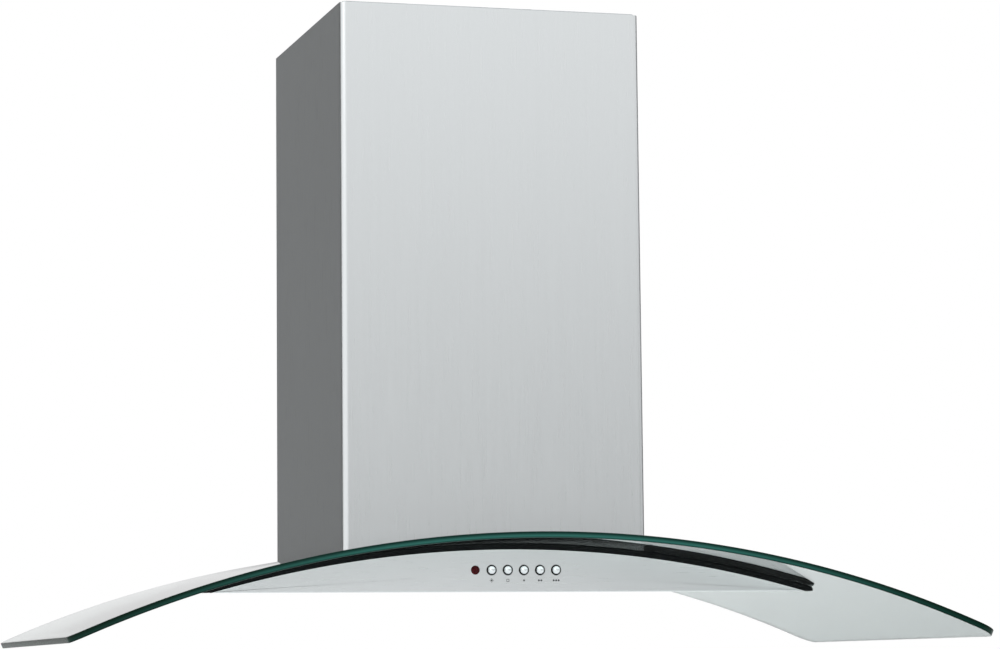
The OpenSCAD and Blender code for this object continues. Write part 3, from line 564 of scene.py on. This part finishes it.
def makePanel():
    bm = bmesh.new()
    reach = panelHigh.x
    arc = []
    for k in range(panel["steps"] + 1):
        x = reach * (1 - 2 * k / panel["steps"])
        arc.append((x, archHeight(bodyRadius, x)))
    loops = [arc]
    holes = [(middleOf(node), (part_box(node)[1].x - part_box(node)[0].x) / 2 - 1.0 * mm) for node in buttonNodes]
    lens = middleOf("indicator_lens")
    holes.append((lens, (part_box("indicator_lens")[1].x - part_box("indicator_lens")[0].x) / 2 - 1.1 * mm))
    for centre, radius in holes:
        loops.append([(centre.x + radius * cos(2 * pi * k / 40), centre.z + radius * sin(2 * pi * k / 40))
                      for k in range(40)])
    edges = []
    for loop in loops:
        ring = [bm.verts.new((x, faceY, z)) for x, z in loop]
        edges += [bm.edges.new((ring[k], ring[(k + 1) % len(ring)])) for k in range(len(ring))]
    bmesh.ops.triangle_fill(bm, use_beauty=True, use_dissolve=False, edges=edges, normal=(0, -1, 0))
    front = bm.faces[:]
    outer = [edge for edge in edges[:len(arc)]]
    made = bmesh.ops.extrude_face_region(bm, geom=front, use_keep_orig=True)
    for v in made["geom"]:
        if isinstance(v, bmesh.types.BMVert):
            v.co.y += panel["sheet"]
    bmesh.ops.recalc_face_normals(bm, faces=bm.faces)
    bmesh.ops.bevel(bm, geom=outer, offset=panel["bend"], segments=3, affect="EDGES", profile=0.5)
    # flange turned in along the arched edge, and the lower edge folded back
    inner = bodyRadius - panel["sheet"]
    rings = []
    for k in range(panel["steps"] + 1):
        x = (reach - 1.2 * mm) * (1 - 2 * k / panel["steps"])
        top = max(archHeight(bodyRadius, x), panelLow.z + 0.05 * mm)
        bottom = max(archHeight(inner, x), panelLow.z)
        rings.append([bm.verts.new((x, y, z)) for y, z in (
            (faceY + panel["sheet"], top), (faceY + panel["flange"], top),
            (faceY + panel["flange"], bottom), (faceY + panel["sheet"], bottom))])
    for near, far in zip(rings, rings[1:]):
        for k in range(4):
            bm.faces.new((near[k], near[(k + 1) % 4], far[(k + 1) % 4], far[k]))
    boxIn(bm, (-reach + 6 * mm, faceY + panel["sheet"], panelLow.z),
          (reach - 6 * mm, faceY + panel["fold"], panelLow.z + panel["sheet"]))
    newPiece("controlPanel", bm, [bodySteel], "hood", ["control_panel"], weighted=True)


button = {"domeRadius": 4.2 * mm, "domeRise": 3.9 * mm, "flange": 1.2 * mm, "stem": 2 * mm}


def makeButton(node):
    low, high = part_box(node)
    centre = Vector(((low.x + high.x) / 2, 0, (low.z + high.z) / 2))
    radius = (high.x - low.x) / 2 - button["flange"]
    r, rise = button["domeRadius"], button["domeRise"]
    ball = (r * r + rise * rise) / (2 * rise)
    profile = [(0, low.y)]
    for k in range(1, 17):
        a = 2 * atan(rise / r) * k / 16
        profile.append((ball * sin(a), low.y + ball * (1 - cos(a))))
    # black collar in the groove round the dome, a dark part put in so that the dome's rim shows a painted dark
    # reflection; then the barrel, the stop flange and the stem
    seat = low.y + rise
    domeBands = len(profile) - 1
    profile += [(r + 0.05 * mm, seat + 0.6 * mm), (r + 0.3 * mm, seat + 0.6 * mm),
                (r + 0.45 * mm, seat - 0.6 * mm),
                (radius - 0.2 * mm, seat - 0.8 * mm), (radius, seat - 0.5 * mm), (radius, faceY + 1.5 * mm),
                (radius + button["flange"], faceY + 1.5 * mm), (radius + button["flange"], faceY + 3 * mm),
                (button["stem"], faceY + 3 * mm), (button["stem"], high.y), (0, high.y)]
    bm = bmesh.new()
    lathe(bm, profile, centre, "y", 64, lambda i: 0 if i < domeBands else 1)
    newPiece("button" + node.replace("button_", "_"), bm, [buttonChrome, buttonBlackPartsAndReflectionCollar], bodyOf[node],
             [node])


def makeIndicator():
    low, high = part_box("indicator_lens")
    centre = Vector(((low.x + high.x) / 2, 0, (low.z + high.z) / 2))
    radius = (high.x - low.x) / 2 - 1.2 * mm
    # stepped prism rings under a low dome
    heights = ((0, 0.25), (0.18, 0.1), (0.24, 0.4), (0.42, 0.2), (0.48, 0.5), (0.66, 0.35), (0.72, 0.7),
               (0.9, 0.95))
    profile = [(radius * reach, low.y + drop * mm) for reach, drop in heights]
    profile += [(radius, faceY), (radius, faceY + 1.3 * mm), (radius + 1.2 * mm, faceY + 1.3 * mm),
                (radius + 1.2 * mm, faceY + 3 * mm), (radius, faceY + 3 * mm), (radius, high.y), (0, high.y)]
    bm = bmesh.new()
    lathe(bm, profile, centre, "y", 48)
    newPiece("indicatorLens", bm, [finish["indicator_red"]], "hood", ["indicator_lens"])


marks = {"dot": 0.95 * mm, "dotPitch": 2.5 * mm, "square": 2.7 * mm, "line": 0.45 * mm, "ink": 0.1 * mm}


def makeMarks():
    low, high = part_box("panel_icons")
    z = (low.z + high.z) / 2
    bm = bmesh.new()

    def patch(points):
        front = [bm.verts.new((x, faceY - marks["ink"], zz)) for x, zz in points]
        back = [bm.verts.new((x, faceY, zz)) for x, zz in points]
        bm.faces.new(front)
        bm.faces.new(back)
        for k in range(len(points)):
            n = (k + 1) % len(points)
            bm.faces.new((front[k], front[n], back[n], back[k]))

    def dot(x, radius):
        patch([(x + radius * cos(2 * pi * k / 20), z + radius * sin(2 * pi * k / 20)) for k in range(20)])

    x = middleOf("button_light").x
    dot(x, 0.85 * mm)
    for k in range(8):
        a = 2 * pi * k / 8
        tip = 2.1 * mm if k % 2 == 0 else 1.6 * mm
        along, across = Vector((cos(a), sin(a))), Vector((-sin(a), cos(a))) * 0.2 * mm
        corners = [along * 1.1 * mm - across, along * tip - across, along * tip + across,
                   along * 1.1 * mm + across]
        patch([(x + c.x, z + c.y) for c in corners])
    x = middleOf("button_stop").x
    out, line = marks["square"] / 2, marks["line"]
    for x0, x1, z0, z1 in ((-out, out, out - line, out), (-out, out, -out, line - out),
                           (-out, line - out, line - out, out - line), (out - line, out, line - out,
                                                                        out - line)):
        patch([(x + x0, z + z0), (x + x1, z + z0), (x + x1, z + z1), (x + x0, z + z1)])
    for count in (1, 2, 3):
        x = middleOf("button_speed_%d" % count).x
        for k in range(count):
            dot(x + (k - (count - 1) / 2) * marks["dotPitch"], marks["dot"])
    newPiece("panelMarks", bm, [finish["icon_ink"]], "hood", ["panel_icons"])


makePanel()
for buttonNode in buttonNodes:
    makeButton(buttonNode)
makeIndicator()
makeMarks()
print("controls made")


# ---------- grease filters ----------

greaseFilter = {"rail": 8 * mm, "frontRail": 20 * mm, "pinOut": 3.6 * mm, "slotHalf": 30.5 * mm,
                "slotDepth": 17 * mm,
                "diamond": (9 * mm, 4.5 * mm), "strand": 0.9 * mm, "layers": (1.2 * mm, 3.6 * mm)}


def makeFilter(node):
    low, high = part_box(node)
    g = greaseFilter
    x0, x1 = low.x + g["pinOut"], high.x - g["pinOut"]
    y0, y1, z0, z1 = low.y, high.y, low.z, high.z
    mid = (x0 + x1) / 2
    rail, frontY = g["rail"], y0 + g["frontRail"]
    slotTop = z0 + 4.6 * mm
    bm = bmesh.new()
    # folded frame: side and back rails, and a wider front rail with a slot for the catch
    boxIn(bm, (x0, y0, z0), (x0 + rail, y1, z1))
    boxIn(bm, (x1 - rail, y0, z0), (x1, y1, z1))
    boxIn(bm, (x0 + rail, y1 - rail, z0), (x1 - rail, y1, z1))
    boxIn(bm, (x0 + rail, y0, z0), (mid - g["slotHalf"], frontY, z1))
    boxIn(bm, (mid + g["slotHalf"], y0, z0), (x1 - rail, frontY, z1))
    boxIn(bm, (mid - g["slotHalf"], y0, slotTop), (mid + g["slotHalf"], frontY, z1))
    boxIn(bm, (mid - g["slotHalf"], y0 + g["slotDepth"], z0), (mid + g["slotHalf"], frontY, slotTop))
    pivotY = y1 - 3 * mm
    lathe(bm, [(0, low.x), (1.2 * mm, low.x), (1.5 * mm, low.x + 0.4 * mm), (1.5 * mm, high.x - 0.4 * mm),
               (1.2 * mm, high.x), (0, high.x)], Vector((0, pivotY, (z0 + z1) / 2)), "x", 20)
    side = node.replace("filter_", "")
    newPiece("filterFrame_" + side, bm, [finish["filter_aluminium"]], bodyOf[node],
             [node],
             bevel=0.8 * mm)

    # two sheets of expanded mesh, drawn coarser than the real 6 mm diamonds so that the strands stay clean
    for layer, rise in enumerate(g["layers"]):
        bm = bmesh.new()
        longHalf, shortHalf = g["diamond"][0] / 2, g["diamond"][1] / 2
        left, right, front, back = x0 + rail - 1 * mm, x1 - rail + 1 * mm, frontY - 1 * mm, y1 - rail + 1 * mm
        columns, rows = int((right - left) / longHalf), int((back - front) / shortHalf)
        stepX, stepY = (right - left) / columns, (back - front) / rows
        spots = {}
        for i in range(columns + 1):
            for j in range(rows + 1):
                if (i + j + layer) % 2 == 0:
                    lift = 0.5 * mm if j % 4 < 2 else -0.5 * mm
                    z = z0 + rise + 0.8 * mm + lift * (1 if i % 2 else -1)
                    spots[i, j] = bm.verts.new((left + i * stepX, front + j * stepY, z))
        for i, j in spots:
            around = [spots.get(key) for key in ((i, j), (i + 1, j + 1), (i, j + 2), (i - 1, j + 1))]
            if all(around):
                bm.faces.new(around)
        mesh = newPiece("filterMesh_%s_%d" % (side, layer + 1), bm, [finish["filter_aluminium"]],
                        bodyOf[node],
                        [node])
        strands = mesh.modifiers.new("strands", "WIREFRAME")
        strands.thickness = g["strand"]
        strands.use_boundary = True
        strands.use_replace = True
    # a thin slab under the sheets, carrying the mesh colour with painted shade in its gaps
    bm = bmesh.new()
    boxIn(bm, (x0 + rail - 1 * mm, frontY - 1 * mm, z1 - 2.4 * mm),
          (x1 - rail + 1 * mm, y1 - rail + 1 * mm, z1 - 1.6 * mm))
    newPiece("filterCore_" + side, bm, [packedMeshShadedGaps], bodyOf[node], [node])


for filterNode in ("filter_left", "filter_right"):
    makeFilter(filterNode)


catch = {"cornerRadius": 1.2 * mm, "recessHalf": 14 * mm, "recessDepth": 2.6 * mm}


def makeCatch(node):
    # a bar with a finger recess, and an ear at each end
    low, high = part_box(node)
    x0, x1 = low.x + 2 * mm, high.x - 2 * mm
    mid = (x0 + x1) / 2
    r0, r1 = low.y + 3 * mm, low.y + 8 * mm
    floor = low.z + catch["recessDepth"]
    bm = bmesh.new()
    boxIn(bm, (x0, low.y, floor), (x1, high.y, high.z))
    boxIn(bm, (x0, low.y, low.z), (mid - catch["recessHalf"], high.y, floor))
    boxIn(bm, (mid + catch["recessHalf"], low.y, low.z), (x1, high.y, floor))
    boxIn(bm, (mid - catch["recessHalf"], low.y, low.z), (mid + catch["recessHalf"], r0, floor))
    boxIn(bm, (mid - catch["recessHalf"], r1, low.z), (mid + catch["recessHalf"], high.y, floor))
    boxIn(bm, (low.x, low.y + 1 * mm, low.z + 1.8 * mm), (high.x, high.y, low.z + 3.2 * mm))
    newPiece("filterCatch_" + node.replace("filter_latch_", ""), bm, [finish["latch_chrome"]], bodyOf[node],
             [node], bevel=0.5 * mm)


for catchNode in ("filter_latch_left", "filter_latch_right"):
    makeCatch(catchNode)
print("filters made")


# ---------- lamps ----------

lamp = {"lensReveal": 9.5 * mm, "lip": 1.5 * mm, "canStep": 4 * mm, "prismPitch": 2 * mm,
        "prismDepth": 0.25 * mm}


def makeLamp(side):
    low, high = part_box("lamp_" + side)
    centre = Vector(((low.x + high.x) / 2, (low.y + high.y) / 2, 0))
    r = (high.x - low.x) / 2
    inner, can, face = r - lamp["lensReveal"], r - lamp["canStep"], low.z + lamp["lip"]
    bm = bmesh.new()
    profile = [(inner, face + 1 * mm), (inner, face - 0.3 * mm), (inner + 0.7 * mm, low.z + 0.3 * mm),
               (inner + 2 * mm, low.z), (r - 2 * mm, low.z), (r - 0.6 * mm, low.z + 0.35 * mm),
               (r, low.z + 1.1 * mm), (r, face), (can, face), (can, high.z - 1 * mm),
               (can - 1 * mm, high.z), (0, high.z)]
    lathe(bm, profile, centre, "z", 96)
    newPiece("lampTrim_" + side, bm, [finish["lamp_trim"]], "hood", ["lamp_" + side])
    low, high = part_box("lamp_lens_" + side)
    r = (high.x - low.x) / 2
    profile = [(0, low.z)]
    rings = int(r / lamp["prismPitch"])
    for k in range(1, rings):
        radius = k * lamp["prismPitch"]
        profile += [(radius, low.z), (radius + 0.15 * mm, low.z + lamp["prismDepth"])]
    profile += [(r - 0.5 * mm, low.z), (r, low.z + 0.4 * mm), (r, high.z), (0, high.z)]
    bm = bmesh.new()
    lathe(bm, profile, centre, "z", 96)
    newPiece("lampLens_" + side, bm, [finish["lamp_glass"]], "hood", ["lamp_lens_" + side])


for lampSide in ("left", "right"):
    makeLamp(lampSide)


# ---------- screws of the back cover ----------

screw = {"head": 3.8 * mm, "rise": 1.5 * mm, "socket": 1.45 * mm, "socketDepth": 1.1 * mm, "shank": 2 * mm}


def makeScrews():
    low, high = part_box("lower_cover_screws")
    out = high.y
    seat = out - screw["rise"]
    steps = 24

    def hexRadius(k, size):
        a = (2 * pi * k / steps) % (pi / 3) - pi / 6
        return size * cos(pi / 6) / cos(a)

    bm = bmesh.new()
    for x in (low.x + screw["head"], high.x - screw["head"]):
        for z in (high.z - screw["head"], -270 * mm, low.z + screw["head"]):
            loops = [(screw["shank"], low.y, 0), (screw["shank"], seat, 0), (screw["head"], seat, 0),
                     (screw["head"], seat + 0.5 * mm, 0), (screw["head"] * 0.86, seat + 1.15 * mm, 0),
                     (screw["head"] * 0.6, out, 0), (screw["socket"], out, 1),
                     (screw["socket"], out - screw["socketDepth"], 1)]
            rings = []
            for radius, y, hexed in loops:
                ring = []
                for k in range(steps):
                    a = 2 * pi * k / steps
                    reach = hexRadius(k, radius) if hexed else radius
                    ring.append(bm.verts.new((x + reach * cos(a), y, z + reach * sin(a))))
                rings.append(ring)
            for near, far in zip(rings, rings[1:]):
                for k in range(steps):
                    n = (k + 1) % steps
                    bm.faces.new((near[k], near[n], far[n], far[k]))
            bm.faces.new(rings[0])
            bm.faces.new(rings[-1])
    newPiece("coverScrews", bm, [finish["bright_screw"]], "hood", ["lower_cover_screws"])


makeScrews()
print("lamps and screws made")


# ---------- camera, light and floor ----------

camera = {"at": (-0.8715, -3.2505, -0.665), "yaw": 15.825, "pitch": 6.113, "roll": -0.584, "lens": 117.26,
          "sensor": 36}


# light around the object; a dark stretch just above the horizon behind it keeps the glass readable
studio = {
    "front": [(-0.4, 1.1), (0.8, 1.5), (-0.02, 1.1), (0.005, 0.38), (0.045, 0.6), (0.125, 0.96),
              (0.205, 1.18),
              (0.35, 1.3), (0.55, 1.5)],
    "back": [(-0.4, 1.15), (0.8, 1.5), (-0.005, 1.15), (0.005, 0.8), (0.4, 0.9), (0.55, 1.5)],
    "behindLeft": 0.21, "leftSide": 1.25, "darkSides": 0.04, "darkBehind": 0.03, "frontRightLow": 0.12,
    "key": {"at": (-2.4, -3.0, 1.5), "aim": (0, 0, -0.4), "size": 1.4, "power": 16}}


def makeCamera():
    data = bpy.data.cameras.new("camera")
    data.lens = camera["lens"]
    data.sensor_width = camera["sensor"]
    data.clip_end = 100
    eye = bpy.data.objects.new("camera", data)
    turn = (Matrix.Rotation(radians(-camera["yaw"]), 4,
                            "Z") @ Matrix.Rotation(radians(90 + camera["pitch"]), 4, "X")
            @ Matrix.Rotation(radians(camera["roll"]), 4, "Z"))
    eye.matrix_world = Matrix.Translation(camera["at"]) @ turn
    bpy.context.scene.collection.objects.link(eye)
    bpy.context.scene.camera = eye


def makeStudio():
    world = bpy.data.worlds.new("studio")
    bpy.context.scene.world = world
    world.use_nodes = True
    tree = world.node_tree
    tree.nodes.clear()
    place = addNode(tree, "ShaderNodeTexCoord")
    way = addNode(tree, "ShaderNodeSeparateXYZ", None, {"Vector": (place, "Generated")})

    # brightness against height: (sine of the height above the horizon, level)
    def heights(levels):
        scaled = addNode(tree, "ShaderNodeMapRange", None,
                         {"Value": (way, "Z"), "From Min": -0.4, "From Max": 0.8})
        ramp = addNode(tree, "ShaderNodeValToRGB", None, {"Fac": (scaled, "Result")})
        stops = ramp.color_ramp.elements
        for k, (height, level) in enumerate(levels):
            stop = stops[k] if k < 2 else stops.new((height + 0.4) / 1.2)
            if k < 2:
                stop.position = (levels[k][0] + 0.4) / 1.2
            stop.color = (level * 0.992, level * 0.997, level, 1)
        return ramp

    def band(axis, start, end):
        return addNode(tree, "ShaderNodeMapRange", {"interpolation_type": "SMOOTHSTEP"},
                       {"Value": (way, axis), "From Min": start, "From Max": end})

    def times(a, b):
        return addNode(tree, "ShaderNodeMath", {"operation": "MULTIPLY"}, {0: a, 1: b})

    def zone(below, mask, level):
        return addNode(tree, "ShaderNodeMix", {"data_type": "RGBA"},
                       {"Factor": mask, 6: below, 7: (level * 0.992, level * 0.997, level, 1)})

    front = heights(studio["front"])
    back = heights(studio["back"])
    room = addNode(tree, "ShaderNodeMix", {"data_type": "RGBA"},
                   {"Factor": (band("Y", -0.3, 0.1), "Result"), 6: (front, "Color"), 7: (back, "Color")})
    # a grey flat behind on the left, a bright one at the left side, and black flats behind both sides
    greyBack = times((band("X", -0.02, -0.12), "Result"), (band("Y", 0.0, 0.2), "Result"))
    room = zone((room, 2), (greyBack, "Value"), studio["behindLeft"])
    leftFront = times((band("X", -0.02, -0.12), "Result"), (band("Y", 0.3, 0.2), "Result"))
    leftLow = times((leftFront, "Value"), (band("Z", 0.7, 0.5), "Result"))
    room = zone((room, 2), (leftLow, "Value"), studio["leftSide"])
    low = band("Z", 0.6, 0.45)
    blackLeft = times((band("X", -0.5, -0.6), "Result"), (band("Y", 0.3, 0.36), "Result"))
    room = zone((room, 2), (times((blackLeft, "Value"), (low, "Result")), "Value"), studio["darkSides"])
    blackRight = times((band("X", 0.55, 0.66), "Result"), (band("Y", 0.08, 0.2), "Result"))
    room = zone((room, 2), (times((blackRight, "Value"), (low, "Result")), "Value"), studio["darkSides"])
    # black flat just above the horizon behind the right half, and a lower one at the front right
    aboveFloor = times((band("Z", 0.066, 0.05), "Result"), (band("Z", -0.006, 0.0), "Result"))
    behind = times((band("X", 0.17, 0.25), "Result"), (band("Y", 0.3, 0.5), "Result"))
    room = zone((room, 2), (times((aboveFloor, "Value"), (behind, "Value")), "Value"), studio["darkBehind"])
    lowRight = times((band("X", 0.27, 0.36), "Result"), (band("Z", 0.06, -0.01), "Result"))
    lowRightFront = times((lowRight, "Value"), (band("Y", -0.5, -0.7), "Result"))
    room = zone((room, 2), (lowRightFront, "Value"), studio["frontRightLow"])

    seen = addNode(tree, "ShaderNodeLightPath")
    lit = addNode(tree, "ShaderNodeBackground", None, {"Color": (room, 2), "Strength": 1.0})
    plain = addNode(tree, "ShaderNodeBackground", None, {"Color": (1, 1, 1, 1), "Strength": 1.0})
    choose = addNode(tree, "ShaderNodeMixShader", None,
                     {0: (seen, "Is Camera Ray"), 1: (lit, "Background"), 2: (plain, "Background")})
    addNode(tree, "ShaderNodeOutputWorld", None, {"Surface": (choose, "Shader")})

    data = bpy.data.lights.new("keyLeft", "AREA")
    data.shape = "DISK"
    data.size = studio["key"]["size"]
    data.energy = studio["key"]["power"]
    key = bpy.data.objects.new("keyLeft", data)
    key.location = studio["key"]["at"]
    key.rotation_euler = (Vector(studio["key"]["aim"]) - key.location).to_track_quat("-Z", "Y").to_euler()
    bpy.context.scene.collection.objects.link(key)

    bm = bmesh.new()
    for x, y in ((-14, -14), (14, -14), (14, 14), (-14, 14)):
        bm.verts.new((x, y, -2.7))
    bm.faces.new(bm.verts)
    mesh = bpy.data.meshes.new("floor")
    bm.to_mesh(mesh)
    bm.free()
    floor = bpy.data.objects.new("floor", mesh)
    bpy.context.scene.collection.objects.link(floor)
    material, tree, output = newMaterial("paleFloor")
    place = addNode(tree, "ShaderNodeTexCoord")
    mottle = addNode(tree, "ShaderNodeTexNoise", None,
                     {"Vector": (place, "Object"), "Scale": 1.5, "Detail": 2.0})
    tone = addNode(tree, "ShaderNodeMix", {"data_type": "RGBA"},
                   {"Factor": (mottle, "Fac"), 6: toLinear("#eaf0f0"), 7: toLinear("#edf2f2")})
    surfaceOf(tree, output, {"Base Color": (tone, 2), "Roughness": 0.8})
    mesh.materials.append(material)


makeCamera()
makeStudio()
bpy.context.scene.view_settings.view_transform = "Standard"
print("camera, light and floor ready")
